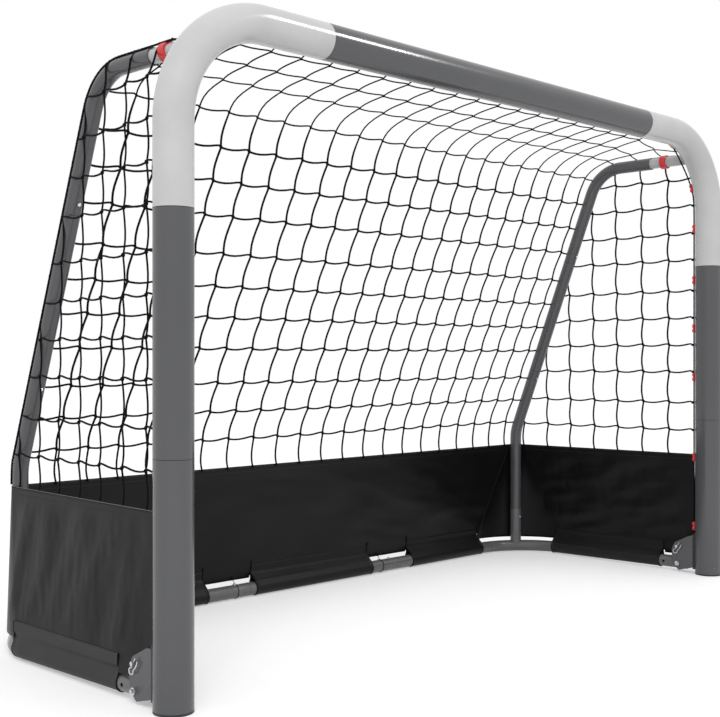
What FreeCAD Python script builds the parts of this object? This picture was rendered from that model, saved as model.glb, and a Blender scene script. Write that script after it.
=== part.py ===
import FreeCAD, Part

import math
import os

# A folding steel goal for street or ice hockey, standing ready for play, in millimetres.
# Front frame: two posts, two white corner bends and a two-piece crossbar, on foot caps.
# Rear frame: a U-shaped floor frame in three pieces, and two arms in three pieces each that
# rise from it and plug onto spigots on the corner bends.
# The floor frame hangs on a bolt through a bracket on each post. A pin above each bolt is
# parked in play, and goes through the hole in the side tube when the floor frame is folded up.
# X runs along the crossbar, Y from the goal mouth to the back, Z up.
# The pieces are drawn with Y = 0 at the goal line and moved at the end, so that the origin is
# on the floor, below the middle of the goal's outline.

# The goal mouth, inside the posts and under the crossbar
mouth_width = 1830
mouth_height = 1220

# Front tubes. A bend's leg runs from the corner of the centre-lines to its joint.
post_radius = 37
post_wall = 1.5
post_plug = 70
bend_radius = 208
bend_leg = 365
cap_rim = 4.3
cap_plug = 26
cap_wall = 3

# Rear tubes
tube_radius = 17.5
tube_wall = 1.5
arm_plug = 50
bar_plug = 60

# The fit of every reduced tube end in its socket, the end's shoulder and the socket's spare
plug_fit = 0.15
plug_web = 8
socket_spare = 5

# The floor frame. Its back is measured from the goal line, its two joints from the middle.
bar_back = 696
base_bend_radius = 192
base_nose = 20
bar_left_joint = 203
bar_right_joint = 297

# The hinge, behind the post, and the holes of the lock pin
pivot_behind = 49
pivot_height = 24.5
lock_reach = 50
lock_hole_radius = 4.1
hinge_fit = 0.05
pin_fit = 0.08

# The arms, inside the posts. The joints are measured along the slope from its two corners.
arm_inset = 64
arm_top_run = 182
arm_low_corner = 389
arm_top_radius = 110
arm_low_radius = 120
arm_upper_run = 293.5
arm_lower_run = 214
stub_top = 138

# The spigots behind the corner bends, tapered so that they clear the arms as the front tips
spigot_fit = 1
spigot_wall = 1.5
spigot_seat = 25
spigot_reach = 110
spigot_nose = 38
spigot_taper = 2.5
ring_rise = 2
ring_width = 19
ring_behind = 66.5
ring_edge = 1

# Spring buttons, with their distance from the end of the socket that each one holds
button_radius = 4
button_hole_radius = 4.3
button_proud = 3.5
button_edge = 1
flange_radius = 6.5
flange_thickness = 1
leaf_width = 6
leaf_thickness = 0.8
leaf_flat = 8.5
leaf_length = 34
leaf_drop = 8
post_button = 35
arm_button = 24
bar_button = 42

# Hinge brackets. The outline of a cheek runs round from below the web's foot, as distances
# behind and above the bolt, with the radius of each corner.
bracket_play = 0.8
bracket_plate = 3
bracket_foot = 8
bracket_top = 84
bracket_back = 19.5
bracket_corners = ((-34, 82.5, 12), (9.5, 60.5, 12), (bracket_back, 42, 14), (bracket_back, 2, 14),
                   (-1.5, -20.5, 9), (-24, -14, 10))
bracket_fold = 4
pad_thickness = 1.5
pad_low = 12
pad_high = 90
pad_gap = 0.1

# Rivets that hold the brackets' webs, as heights above the bolt
rivet_levels = (31, 69)
rivet_radius = 2.4
rivet_head_radius = 5
rivet_head = 2
rivet_bulb_radius = 3.4
rivet_bulb = 4

# Pivot bolts, lock pins and their hairpin clips
bolt_radius = 4
bolt_head = 5.5
bolt_end = 4.5
nut_height = 6.5
nut_flats = 13
pin_radius = 4
pin_gap = 0.3
pin_head_radius = 7
pin_head = 3
pin_end = 10
clip_offset = 5.5
clip_wire = 1.25
clip_hole_radius = 1.5
clip_angle = 125
clip_points = ((14, 0), (-10, 0), (-16.5, -4), (-23, 3.5), (-16.5, 11), (-9, 8), (1, 10.5), (13, 8))
clip_radii = (2, 3.5, 4, 3.5, 3, 20)

# Skirt. The windows in its rear are measured from the middle.
fabric = 1
fabric_gap = 0.3
sleeve_behind_hole = 16
skirt_top = 347
skirt_edge = 10
skirt_front_inset = 17
notch_clear = 8
window_gap = 12
left_window = (-341, -182)
right_window = (257, 428)

# Net, its border rope and the clips that hold the rope. The clips' levels are measured up
# from the floor and down from the foot of the corner bend.
net_thickness = 3
net_gap = 1
net_rise = 1.9
net_bottom_gap = 1.5
net_shoulder = 25
rope_radius = 2.5
rope_inset = 14
rope_gap = 0.5
rope_foot = 11.5
rope_turn = 28
rope_turn_radius = 90
rope_chord_radius = 60
net_clip_radius = 6.5
net_clip_height = 12
low_clips = (137, 338, 571)
high_clips = (336, 195, 46)
bend_clip = 25

# Derived places
post_x = mouth_width / 2 + post_radius
bar_z = tube_radius + fabric_gap + fabric
crossbar_z = mouth_height + post_radius
post_top = crossbar_z - bend_leg
post_middle = (cap_rim + post_top) / 2
crossbar_end = post_x - bend_leg
post_bore = post_radius - post_wall
tube_bore = tube_radius - tube_wall
arm_x = post_x - arm_inset
arm_z = crossbar_z - bend_radius + math.sqrt(bend_radius ** 2 - (bend_radius - arm_inset) ** 2)
arm_mouth = post_radius + spigot_reach
arm_top_corner = arm_mouth + arm_top_run
arm_foot = (bar_back - base_bend_radius
            + math.sqrt(base_bend_radius ** 2 - (base_bend_radius - arm_inset) ** 2))
spigot_radius = tube_bore - spigot_fit
ring_radius = tube_radius + ring_rise
pivot_back = post_radius + pivot_behind
lock_height = pivot_height + lock_reach
base_slope = math.degrees(math.atan2(pivot_height - bar_z, bar_back - pivot_back))
bracket_front = post_radius + pad_thickness
bracket_half = tube_radius + bracket_play + bracket_plate
sleeve_front = pivot_back + lock_reach + sleeve_behind_hole
sleeve_radius = tube_radius + fabric_gap
sleeve_outer = sleeve_radius + fabric
skirt_front = post_radius + skirt_edge
skirt_foot_x = post_x + sleeve_outer
skirt_foot_y = bar_back + sleeve_outer
skirt_top_x = arm_x + sleeve_outer
skirt_top_y = arm_foot + sleeve_outer
window_top = bar_z + tube_radius + window_gap
net_level = arm_z + ring_radius + net_rise
rope_x = post_x - rope_inset
rope_y = post_radius + rope_gap + rope_radius
bend_foot = crossbar_z - bend_radius
outline_middle = (skirt_foot_y - post_radius) / 2
# Longer than any cut needs
beyond = 500

os.makedirs("parts", exist_ok=True)


def vec(x, y, z):
    return FreeCAD.Vector(x, y, z)


right, behind, up = vec(1, 0, 0), vec(0, 1, 0), vec(0, 0, 1)
left, ahead, down = vec(-1, 0, 0), vec(0, -1, 0), vec(0, 0, -1)


def save(name, shape):
    # Moves a finished piece to the model's origin and writes it
    shape.translate(ahead * outline_middle)
    shape.exportStep("parts/" + name + ".step")


def mirrored(shape):
    return shape.mirror(vec(0, 0, 0), right)


def save_pair(name, piece):
    save(name + "_left", mirrored(piece))
    save(name + "_right", piece.copy())


def rod(start, end, radius):
    return Part.makeCylinder(radius, (end - start).Length, start, end - start)


def ring(start, end, outer, inner):
    return rod(start, end, outer).cut(rod(start, end, inner))


def box(low, high):
    return Part.makeBox(high.x - low.x, high.y - low.y, high.z - low.z, low)


def face(corners):
    return Part.Face(Part.makePolygon(corners + corners[:1]))


def bent_path(points, radii, closed=False):
    # Straight runs joined by tangent arcs, one radius for each corner
    corners = list(zip(points, points[1:], points[2:]))
    if closed:
        corners = list(zip(points[-1:] + points[:-1], points, points[1:] + points[:1]))
    arcs = []
    for (before, corner, after), radius in zip(corners, radii):
        into = (corner - before).normalize()
        out = (after - corner).normalize()
        turn = into.getAngle(out)
        setback = radius * math.tan(turn / 2)
        middle = corner + (out - into).normalize() * (radius / math.cos(turn / 2) - radius)
        arcs.append((corner - into * setback, middle, corner + out * setback))
    edges = []
    place = arcs[-1][2] if closed else points[0]
    for start, middle, end in arcs:
        if (start - place).Length > 1e-4:
            edges.append(Part.makeLine(place, start))
        edges.append(Part.Arc(start, middle, end).toShape())
        place = end
    if not closed:
        edges.append(Part.makeLine(place, points[-1]))
    return Part.Wire(edges)


def bent_rod(points, radii, radius):
    circle = Part.Wire(Part.makeCircle(radius, points[0], points[1] - points[0]))
    return bent_path(points, radii).makePipeShell([circle], True, False)


def outline(points, radii):
    return Part.Face(bent_path(points, radii, closed=True))


def plug(end, inward, outer, wall, length):
    # The reduced end of a tube, past its end face, with the shoulder that joins it to the wall
    sleeve = outer - wall - plug_fit
    shoulder = ring(end, end + inward * plug_web, outer - wall / 2, sleeve - wall)
    return shoulder.fuse(ring(end - inward * length, end + inward * plug_web, sleeve, sleeve - wall))


def straight_tube(start, end, outer, wall, start_plug, end_plug):
    # A tube with a reduced end of the given length at its start, its end or both
    along = (end - start).normalize()
    tube = ring(start, end, outer, outer - wall)
    if start_plug:
        tube = tube.fuse(plug(start, along, outer, wall, start_plug))
    if end_plug:
        tube = tube.fuse(plug(end, along * -1, outer, wall, end_plug))
    return tube.removeSplitter()


def front_tube(start, end, start_plug, end_plug):
    return straight_tube(start, end, post_radius, post_wall, start_plug, end_plug)


def rear_tube(start, end, start_plug, end_plug):
    return straight_tube(start, end, tube_radius, tube_wall, start_plug, end_plug)


def button_hole(place, out, outer):
    return rod(place, place + out * (outer + button_proud), button_hole_radius)


def spring_button(place, out, leaf, outer, wall):
    # A pin through the wall of a socket and of the plug inside it, with the flange that stops
    # it and one leaf of its spring. place is on the tube's axis.
    bore = outer - 2 * wall - plug_fit
    seat = math.sqrt((bore - fabric_gap) ** 2 - flange_radius ** 2)
    edge = outer + button_proud - button_edge
    low = seat - flange_thickness
    pin = rod(place + out * seat, place + out * edge, button_radius)
    point = Part.makeCone(button_radius, button_radius - button_edge, button_edge,
                          place + out * edge, out)
    flange = rod(place + out * low, place + out * seat, flange_radius)
    upper = [(0, low), (leaf_flat, low), (leaf_length, low - leaf_drop)]
    lower = [(along, height - leaf_thickness) for along, height in reversed(upper)]
    side = out.cross(leaf)
    corners = [place + leaf * along + out * height - side * (leaf_width / 2)
               for along, height in upper + lower]
    return pin.fuse([point, flange, face(corners).extrude(side * leaf_width)]).removeSplitter()


def foot_cap():
    floor = vec(post_x, 0, 0)
    rim_top = vec(post_x, 0, cap_rim)
    rim = rod(floor, rim_top, post_radius)
    stem_radius = post_bore - plug_fit
    return rim.fuse(ring(rim_top, rim_top + up * cap_plug, stem_radius, stem_radius - cap_wall))


middle_button = vec(post_x, 0, post_middle + post_button)
top_button = vec(post_x, 0, post_top + post_button)
end_button = vec(crossbar_end + post_button, 0, crossbar_z)
centre_button = vec(post_button, 0, crossbar_z)


def back_holes(places):
    return [button_hole(place, behind, post_radius) for place in places]


def rivet_places():
    return [vec(post_x, post_radius, pivot_height + level) for level in rivet_levels]


def rivet_holes():
    return [rod(place - behind * rivet_bulb, place + behind * 2 * bracket_plate, rivet_radius + hinge_fit)
            for place in rivet_places()]


def post_lower():
    tube = front_tube(vec(post_x, 0, cap_rim), vec(post_x, 0, post_middle), 0, post_plug)
    return tube.cut(back_holes([middle_button]) + rivet_holes())


def post_upper():
    tube = front_tube(vec(post_x, 0, post_middle), vec(post_x, 0, post_top), 0, post_plug)
    return tube.cut(back_holes([middle_button, top_button]))


def bend_rod(radius):
    corner = vec(post_x, 0, crossbar_z)
    return bent_rod([vec(post_x, 0, 0), corner, vec(0, 0, crossbar_z)], [bend_radius], radius)


def corner_bend():
    # Open sockets take the post and the crossbar. The blind hole behind the middle of the bend
    # takes the spigot.
    foot = vec(post_x, 0, post_top)
    corner = vec(post_x, 0, crossbar_z)
    end = vec(crossbar_end, 0, crossbar_z)
    bend = bent_rod([foot, corner, end], [bend_radius], post_radius)
    depth = post_plug + socket_spare
    sockets = [rod(foot, foot + up * depth, post_bore), rod(end, end + right * depth, post_bore)]
    root = vec(arm_x, post_radius - spigot_seat, arm_z)
    seat = rod(root, root + behind * post_radius, spigot_radius + plug_fit)
    return bend.cut(sockets + back_holes([top_button, end_button]) + [seat])


def crossbar_right():
    tube = front_tube(vec(0, 0, crossbar_z), vec(crossbar_end, 0, crossbar_z), 0, post_plug)
    return tube.cut(back_holes([end_button, centre_button]))


def crossbar_left():
    tube = front_tube(vec(-crossbar_end, 0, crossbar_z), vec(0, 0, crossbar_z), post_plug, post_plug)
    return tube.cut(back_holes([vec(-end_button.x, 0, crossbar_z), centre_button]))


def top_spigot():
    # A tube along Y with a tapered nose, turned about its axis
    root = post_radius - spigot_seat
    tip = arm_mouth + spigot_nose
    inner = spigot_radius - spigot_taper - spigot_wall
    profile = [(inner, root), (spigot_radius, root), (spigot_radius, arm_mouth),
               (spigot_radius - spigot_taper, tip), (inner, tip)]
    section = face([vec(arm_x + across, along, arm_z) for across, along in profile])
    return section.revolve(vec(arm_x, 0, arm_z), behind, 360)


def spigot_ring():
    start = vec(arm_x, post_radius + ring_behind - ring_width / 2, arm_z)
    collar = ring(start, start + behind * ring_width, ring_radius, spigot_radius + plug_fit)
    rims = [edge for edge in collar.Edges if abs(edge.Length - 2 * math.pi * ring_radius) < 1]
    return collar.makeChamfer(ring_edge, rims)


def hinge_bracket():
    # A folded channel: its web stands against the pad on the post, and its two cheeks hold the
    # side tube's bolt and, a reach above it, the lock pin
    front = post_x - bracket_half
    points = [vec(front, bracket_front, pivot_height - bracket_foot),
              vec(front, bracket_front, pivot_height + bracket_top)]
    points += [vec(front, pivot_back + y, pivot_height + z) for y, z, radius in bracket_corners]
    radii = [bracket_fold, bracket_fold] + [radius for y, z, radius in bracket_corners]
    solid = outline(points, radii).extrude(right * 2 * bracket_half)
    inside = bracket_half - bracket_plate
    pocket = box(vec(post_x - inside, bracket_front + bracket_plate, -beyond),
                 vec(post_x + inside, pivot_back + beyond, beyond))
    across = right * 2 * bracket_half
    bolt = vec(post_x, pivot_back, pivot_height)
    pin = vec(post_x, pivot_back, lock_height)
    return solid.cut([pocket, rod(bolt - across, bolt + across, bolt_radius + hinge_fit),
                      rod(pin - across, pin + across, pin_radius + pin_fit)] + rivet_holes())


def hinge_pad():
    # A saddle between the round post and the flat web of the bracket
    block = box(vec(post_x - bracket_half, 0, pivot_height - pad_low),
                vec(post_x + bracket_half, bracket_front, pivot_height + pad_high))
    post = rod(vec(post_x, 0, 0), vec(post_x, 0, post_top), post_radius + pad_gap)
    return block.cut([post] + rivet_holes())


def bracket_rivets():
    # Heads behind the web, and the swollen ends behind the post's wall
    rivets = []
    web = bracket_plate + pad_thickness
    for place in rivet_places():
        inner = vec(post_x, math.sqrt(post_bore ** 2 - rivet_bulb_radius ** 2) - pad_gap, place.z)
        outer = place + behind * web
        head = Part.makeCone(rivet_head_radius, rivet_radius, rivet_head, outer, behind)
        bulb = rod(inner - behind * rivet_bulb, inner, rivet_bulb_radius)
        rivets.append(head.fuse([rod(inner, outer, rivet_radius), bulb]).removeSplitter())
    return Part.makeCompound(rivets)


def hexagon(place, out, flats, height):
    radius = flats / math.sqrt(3)
    turns = [math.radians(60 * k) for k in range(6)]
    corners = [place + vec(0, math.cos(turn), math.sin(turn)) * radius for turn in turns]
    return face(corners).extrude(out * height)


def pivot_bolt(x):
    # The bolt's head is on the right and its nut on the left, on both posts
    head = vec(x + bracket_half, pivot_back, pivot_height)
    nut = vec(x - bracket_half, pivot_back, pivot_height)
    shank = rod(nut + left * (nut_height + bolt_end), head, bolt_radius)
    bolt = shank.fuse(hexagon(head, right, nut_flats, bolt_head)).removeSplitter()
    hole = rod(nut, nut + left * nut_height, bolt_radius + hinge_fit)
    return Part.makeCompound([bolt, hexagon(nut, left, nut_flats, nut_height).cut(hole)])


def clip_place(x):
    return vec(x - bracket_half - clip_offset, pivot_back, lock_height)


# The direction of a clip's straight leg, from its eye to its free end
clip_way = vec(0, math.cos(math.radians(clip_angle)), math.sin(math.radians(clip_angle)))


def lock_pin(x):
    end = vec(x - bracket_half - pin_end, pivot_back, lock_height)
    head = vec(x + bracket_half + pin_gap, pivot_back, lock_height)
    pin = rod(end, head, pin_radius).fuse(rod(head, head + right * pin_head, pin_head_radius))
    across = clip_way * (pin_radius + clip_wire)
    return pin.removeSplitter().cut(rod(clip_place(x) - across, clip_place(x) + across, clip_hole_radius))


def lock_clip(x):
    # A hairpin of spring wire: a straight leg through the pin, an eye, and a bowed leg beside it
    beside = right.cross(clip_way)
    points = [clip_place(x) + clip_way * along + beside * across for along, across in clip_points]
    return bent_rod(points, clip_radii, clip_wire)


def base_side(rear_joint):
    # A side of the floor frame with its share of the rear bar and the socket for an arm. The
    # side leg rises a little to the front, to its bolt.
    front = vec(post_x, pivot_back - base_nose, bar_z)
    corner = vec(post_x, bar_back, bar_z)
    end = vec(rear_joint, bar_back, bar_z)
    frame = bent_rod([front, corner, end], [base_bend_radius], tube_radius)
    frame = frame.cut([rod(front, corner - behind * base_bend_radius, tube_bore),
                       rod(corner - right * base_bend_radius, end, tube_bore)])
    frame.rotate(vec(0, bar_back, bar_z), right, -base_slope)
    foot = vec(arm_x, arm_foot, bar_z)
    top = vec(arm_x, arm_foot, stub_top)
    socket = rod(top, top + down * (arm_plug + socket_spare), tube_bore)
    frame = frame.fuse(rod(foot, top, tube_radius)).cut(socket)
    bolt = vec(post_x, pivot_back, pivot_height)
    slope = math.radians(base_slope)
    lock = bolt + vec(0, math.cos(slope), -math.sin(slope)) * lock_reach
    across = right * 2 * tube_radius
    return frame.cut([rod(bolt - across, bolt + across, bolt_radius + hinge_fit),
                      rod(lock - across, lock + across, lock_hole_radius),
                      button_hole(top + down * arm_button, ahead, tube_radius)])


left_bar_button = vec(-bar_left_joint - bar_button, bar_back, bar_z)
right_bar_button = vec(bar_right_joint + bar_button, bar_back, bar_z)


def base_left():
    return mirrored(base_side(bar_left_joint)).cut(button_hole(left_bar_button, up, tube_radius))


def base_right():
    return base_side(bar_right_joint).cut(button_hole(right_bar_button, up, tube_radius))


def rear_bar_centre():
    start = vec(-bar_left_joint, bar_back, bar_z)
    end = vec(bar_right_joint, bar_back, bar_z)
    return rear_tube(start, end, bar_plug, bar_plug).cut([button_hole(left_bar_button, up, tube_radius),
                                                          button_hole(right_bar_button, up, tube_radius)])


# The arm's corners and joints, in its own plane
top_corner = vec(arm_x, arm_top_corner, arm_z)
low_corner = vec(arm_x, arm_foot, arm_low_corner)
arm_way = (low_corner - top_corner).normalize()
arm_out = vec(0, arm_way.z, -arm_way.y)
top_setback = arm_top_radius * math.tan(behind.getAngle(arm_way) / 2)
low_setback = arm_low_radius * math.tan(down.getAngle(arm_way) / 2)
upper_joint = top_corner + arm_way * arm_upper_run
lower_joint = low_corner - arm_way * arm_lower_run
upper_button = upper_joint - arm_way * arm_button
lower_button = lower_joint + arm_way * arm_button
stub_button = vec(arm_x, arm_foot, stub_top - arm_button)


def arm_upper():
    mouth = vec(arm_x, arm_mouth, arm_z)
    arm = bent_rod([mouth, top_corner, upper_joint], [arm_top_radius], tube_radius)
    return arm.cut([rod(mouth, top_corner - behind * top_setback, tube_bore),
                    rod(top_corner + arm_way * top_setback, upper_joint, tube_bore),
                    button_hole(upper_button, arm_out, tube_radius)])


def arm_middle():
    tube = rear_tube(upper_joint, lower_joint, arm_plug, arm_plug)
    return tube.cut([button_hole(upper_button, arm_out, tube_radius),
                     button_hole(lower_button, arm_out, tube_radius)])


def arm_lower():
    foot = vec(arm_x, arm_foot, stub_top)
    arm = bent_rod([lower_joint, low_corner, foot], [arm_low_radius], tube_radius)
    arm = arm.cut([rod(lower_joint, low_corner - arm_way * low_setback, tube_bore),
                   rod(low_corner + down * low_setback, foot, tube_bore)])
    arm = arm.fuse(plug(foot, up, tube_radius, tube_wall, arm_plug)).removeSplitter()
    return arm.cut([button_hole(lower_button, arm_out, tube_radius),
                    button_hole(stub_button, ahead, tube_radius)])


def skirt_section(x, y, z, radius, front_x):
    # The side of the skirt at one height, from the front to the end of its rounded corner
    edges = []
    for depth in (0, fabric):
        side, back, turn = x - depth, y - depth, radius - depth
        middle = vec(side - turn + turn * math.sqrt(0.5), back - turn + turn * math.sqrt(0.5), z)
        arc = Part.Arc(vec(side, back - turn, z), middle, vec(side - turn, back, z)).toShape()
        edges.append([Part.makeLine(vec(front_x - depth, skirt_front, z), vec(side, back - turn, z)), arc])
    outer, inner = edges
    ends = [Part.makeLine(outer[0].firstVertex().Point, inner[0].firstVertex().Point),
            Part.makeLine(outer[1].lastVertex().Point, inner[1].lastVertex().Point)]
    return Part.Wire(Part.__sortEdges__(outer + inner + ends))


def sleeve(start, end):
    return ring(start, end, sleeve_outer, sleeve_radius)


def skirt_side():
    foot = skirt_section(skirt_foot_x, skirt_foot_y, bar_z, base_bend_radius + sleeve_outer, skirt_foot_x)
    top = skirt_section(skirt_top_x, skirt_top_y, skirt_top, sleeve_outer, post_x - skirt_front_inset)
    sheet = Part.makeLoft([foot, top], True, True)
    slope = math.tan(math.radians(base_slope))
    corner_front = bar_back - base_bend_radius
    cuff_start = vec(post_x, sleeve_front, bar_z + (bar_back - sleeve_front) * slope)
    cuff_end = vec(post_x, corner_front, bar_z + base_bend_radius * slope)
    outside = post_x + beyond
    notch = box(vec(0, 0, 0), vec(outside, pivot_back + bracket_back + notch_clear,
                                  pivot_height + bracket_top + notch_clear))
    front_window = box(vec(0, 0, 0), vec(outside, sleeve_front, window_top))
    corner_window = box(vec(0, corner_front, 0), vec(outside, bar_back + beyond, window_top))
    sheet = sheet.cut([notch, front_window, corner_window, rod(cuff_start, cuff_end, sleeve_radius)])
    return sheet.fuse(sleeve(cuff_start, cuff_end))


def skirt_rear():
    foot_end = post_x - base_bend_radius
    top_end = arm_x
    sections = []
    for end, back, z in ((foot_end, skirt_foot_y, bar_z), (top_end, skirt_top_y, skirt_top)):
        front = back - fabric
        corners = [vec(-end, back, z), vec(end, back, z), vec(end, front, z), vec(-end, front, z)]
        sections.append(Part.makePolygon(corners + corners[:1]))
    sheet = Part.makeLoft(sections, True, True)
    windows = [box(vec(start, 0, 0), vec(end, bar_back + beyond, window_top))
               for start, end in (left_window, right_window)]
    runs = ((-foot_end, left_window[0]), (left_window[1], right_window[0]), (right_window[1], foot_end))
    cuffs = [sleeve(vec(start, bar_back, bar_z), vec(end, bar_back, bar_z)) for start, end in runs]
    return sheet.cut(windows).fuse(cuffs)


def net_side():
    # The net between a post and its arm, drawn over the outside of the arm
    side_x = arm_x + sleeve_radius
    front_x = post_x - skirt_front_inset
    low = skirt_top + net_bottom_gap
    high = net_level - net_thickness
    shoulder = top_corner + arm_way * (top_setback + net_shoulder)
    reach = sleeve_radius / math.cos(arm_way.getAngle(down))
    front_low = vec(front_x, skirt_front, low)
    front_high = vec(front_x, skirt_front, high)
    back_low = vec(side_x, arm_foot + tube_radius, low)
    back_high = vec(side_x, shoulder.y + reach, shoulder.z)
    back_top = vec(side_x, arm_top_corner - arm_top_radius / 2, high)
    panels = [face(corners).extrude(right * net_thickness)
              for corners in ([front_low, back_low, back_high], [front_low, back_high, front_high],
                              [front_high, back_high, back_top])]
    return panels[0].fuse(panels[1:])


def net_back():
    # The net behind and above the arms, as one sheet that follows them
    half = net_thickness / 2
    lift = tube_radius + net_gap + half
    level = net_level + half
    slope = top_corner - arm_out * lift
    width = arm_x + tube_radius
    start = vec(-width, skirt_front, level)
    shoulder = vec(-width, (slope + arm_way * ((level - slope.z) / arm_way.z)).y, level)
    knee = slope + arm_way * ((arm_foot + lift - slope.y) / arm_way.y)
    low = vec(-width, arm_foot + lift, skirt_top + net_bottom_gap)
    path = bent_path([start, shoulder, vec(-width, knee.y, knee.z), low],
                     [arm_top_radius + lift, arm_low_radius + lift])
    across = right * 2 * width
    edge = [start + up * half, start + across + up * half, start + across - up * half, start - up * half]
    return path.makePipeShell([Part.makePolygon(edge + edge[:1])], True, False)


# Where the rope turns off the bend, to pass inside the spigot, and the bend's middle
bend_middle = vec(post_x - bend_radius, rope_y, bend_foot)
rope_bend = bend_radius - rope_inset


def on_bend(turn, radius):
    return bend_middle + vec(math.cos(math.radians(turn)), 0, math.sin(math.radians(turn))) * radius


rope_corners = [on_bend(rope_turn / 2, rope_bend / math.cos(math.radians(rope_turn / 2))),
                on_bend(rope_turn, rope_bend),
                on_bend(90 - rope_turn, rope_bend),
                on_bend(90 - rope_turn / 2, rope_bend / math.cos(math.radians(rope_turn / 2)))]


def net_rope():
    # The border rope of the net, up the backs of the posts, round the bends and along the bar
    half = [vec(rope_x, rope_y, pivot_height + bracket_top + rope_foot)] + rope_corners
    points = half + [vec(-point.x, point.y, point.z) for point in reversed(half)]
    turns = [rope_turn_radius, rope_chord_radius, rope_chord_radius, rope_turn_radius]
    return bent_rod(points, turns * 2, rope_radius)


def net_clips():
    # Closed loops round the rope, each with a saddle that sits on the post or the bend
    levels = list(low_clips) + [bend_foot - depth for depth in high_clips]
    places = [(vec(rope_x, rope_y, level), up) for level in levels]
    for corner, other in (rope_corners[:2], rope_corners[:1:-1]):
        way = (other - corner).normalize()
        places.append((corner + way * bend_clip, way))
    saddle = bend_rod(post_radius + pad_gap)
    clips = []
    for place, way in places:
        reach = way * (net_clip_height / 2)
        clip = ring(place - reach, place + reach, net_clip_radius, rope_radius + fabric_gap).cut(saddle)
        clips += [clip, mirrored(clip)]
    return Part.makeCompound(clips)


save_pair("foot_cap", foot_cap())
save_pair("post_lower", post_lower())
save_pair("post_upper", post_upper())
save_pair("corner_bend", corner_bend())
save("crossbar_left", crossbar_left())
save("crossbar_right", crossbar_right())
save_pair("top_spigot", top_spigot())
save_pair("spigot_ring", spigot_ring())
save_pair("hinge_bracket", hinge_bracket())
save_pair("hinge_pad", hinge_pad())
save_pair("bracket_rivets", bracket_rivets())
for side, x in (("left", -post_x), ("right", post_x)):
    save("pivot_bolt_" + side, pivot_bolt(x))
    save("lock_pin_" + side, lock_pin(x))
    save("lock_clip_" + side, lock_clip(x))
save("base_left", base_left())
save("base_right", base_right())
save("rear_bar_centre", rear_bar_centre())
save_pair("arm_upper", arm_upper())
save_pair("arm_middle", arm_middle())
save_pair("arm_lower", arm_lower())
save_pair("skirt_side", skirt_side())
save("skirt_rear", skirt_rear())
save_pair("net_side", net_side())
save("net_back", net_back())
save("net_rope", net_rope())
save("net_clips", net_clips())

# Spring buttons. Those of the front frame are behind the posts and the crossbar.
save_pair("button_post_middle", spring_button(middle_button, behind, down, post_radius, post_wall))
save_pair("button_post_top", spring_button(top_button, behind, down, post_radius, post_wall))
save_pair("button_crossbar_end", spring_button(end_button, behind, left, post_radius, post_wall))
save("button_crossbar_middle", spring_button(centre_button, behind, left, post_radius, post_wall))
save_pair("button_arm_upper", spring_button(upper_button, arm_out, arm_way, tube_radius, tube_wall))
save_pair("button_arm_lower", spring_button(lower_button, arm_out, arm_way * -1, tube_radius, tube_wall))
save_pair("button_arm_foot", spring_button(stub_button, ahead, up, tube_radius, tube_wall))
save("button_bar_left", spring_button(left_bar_button, up, right, tube_radius, tube_wall))
save("button_bar_right", spring_button(right_bar_button, up, left, tube_radius, tube_wall))
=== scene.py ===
import bmesh
import bpy
from math import acos, atan2, copysign, cos, inf, pi, radians, sin, tan, tau
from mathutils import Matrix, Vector, noise


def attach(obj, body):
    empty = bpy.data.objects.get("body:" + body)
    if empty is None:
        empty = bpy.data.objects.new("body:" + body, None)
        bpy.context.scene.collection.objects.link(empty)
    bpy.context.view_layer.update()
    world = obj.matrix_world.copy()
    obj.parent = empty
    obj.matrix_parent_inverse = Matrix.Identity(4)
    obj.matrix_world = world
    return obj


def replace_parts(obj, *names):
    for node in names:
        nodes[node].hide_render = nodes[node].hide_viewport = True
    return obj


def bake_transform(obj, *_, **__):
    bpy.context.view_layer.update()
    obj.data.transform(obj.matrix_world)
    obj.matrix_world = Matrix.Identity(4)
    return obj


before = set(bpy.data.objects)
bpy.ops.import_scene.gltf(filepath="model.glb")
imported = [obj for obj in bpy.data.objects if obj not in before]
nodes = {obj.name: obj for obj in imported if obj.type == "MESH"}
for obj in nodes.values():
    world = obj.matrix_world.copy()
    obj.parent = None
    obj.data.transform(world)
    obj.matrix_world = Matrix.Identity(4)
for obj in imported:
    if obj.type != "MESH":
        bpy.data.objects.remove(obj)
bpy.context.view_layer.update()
scene = bpy.context.scene
scene.view_settings.view_transform = "Standard"

frontToMiddle = 338.9  # millimetres from the mouth's plane to the frame's origin
sides = ((-1, "Left"), (1, "Right"))


def place(x, y, z):  # the goal's millimetres, from the mouth's middle on the floor, in the frame's metres
    return Vector((x, y - frontToMiddle, z)) / 1000


class Wire:  # a socket in a node tree; sums written on it become Math nodes
    def __init__(self, tree, socket=None):
        self.tree, self.socket = tree, socket

    def node(self, kind, settings=None, values=None, output=0):
        made = self.tree.nodes.new(kind)
        for name, value in (settings or {}).items():
            setattr(made, name, value)
        for name, value in (values or {}).items():
            if isinstance(value, Wire):
                self.tree.links.new(value.socket, made.inputs[name])
            else:
                made.inputs[name].default_value = value
        return Wire(self.tree, made.outputs[output] if made.outputs else None)

    def sums(self, operation, first, second):
        return self.node("ShaderNodeMath", {"operation": operation}, {0: first, 1: second})

    def __add__(self, other):
        return self.sums("ADD", self, other)

    def __radd__(self, other):
        return self.sums("ADD", other, self)

    def __sub__(self, other):
        return self.sums("SUBTRACT", self, other)

    def __rsub__(self, other):
        return self.sums("SUBTRACT", other, self)

    def __mul__(self, other):
        return self.sums("MULTIPLY", self, other)

    def __rmul__(self, other):
        return self.sums("MULTIPLY", other, self)

    def __truediv__(self, other):
        return self.sums("DIVIDE", self, other)

    def __rtruediv__(self, other):
        return self.sums("DIVIDE", other, self)


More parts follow.
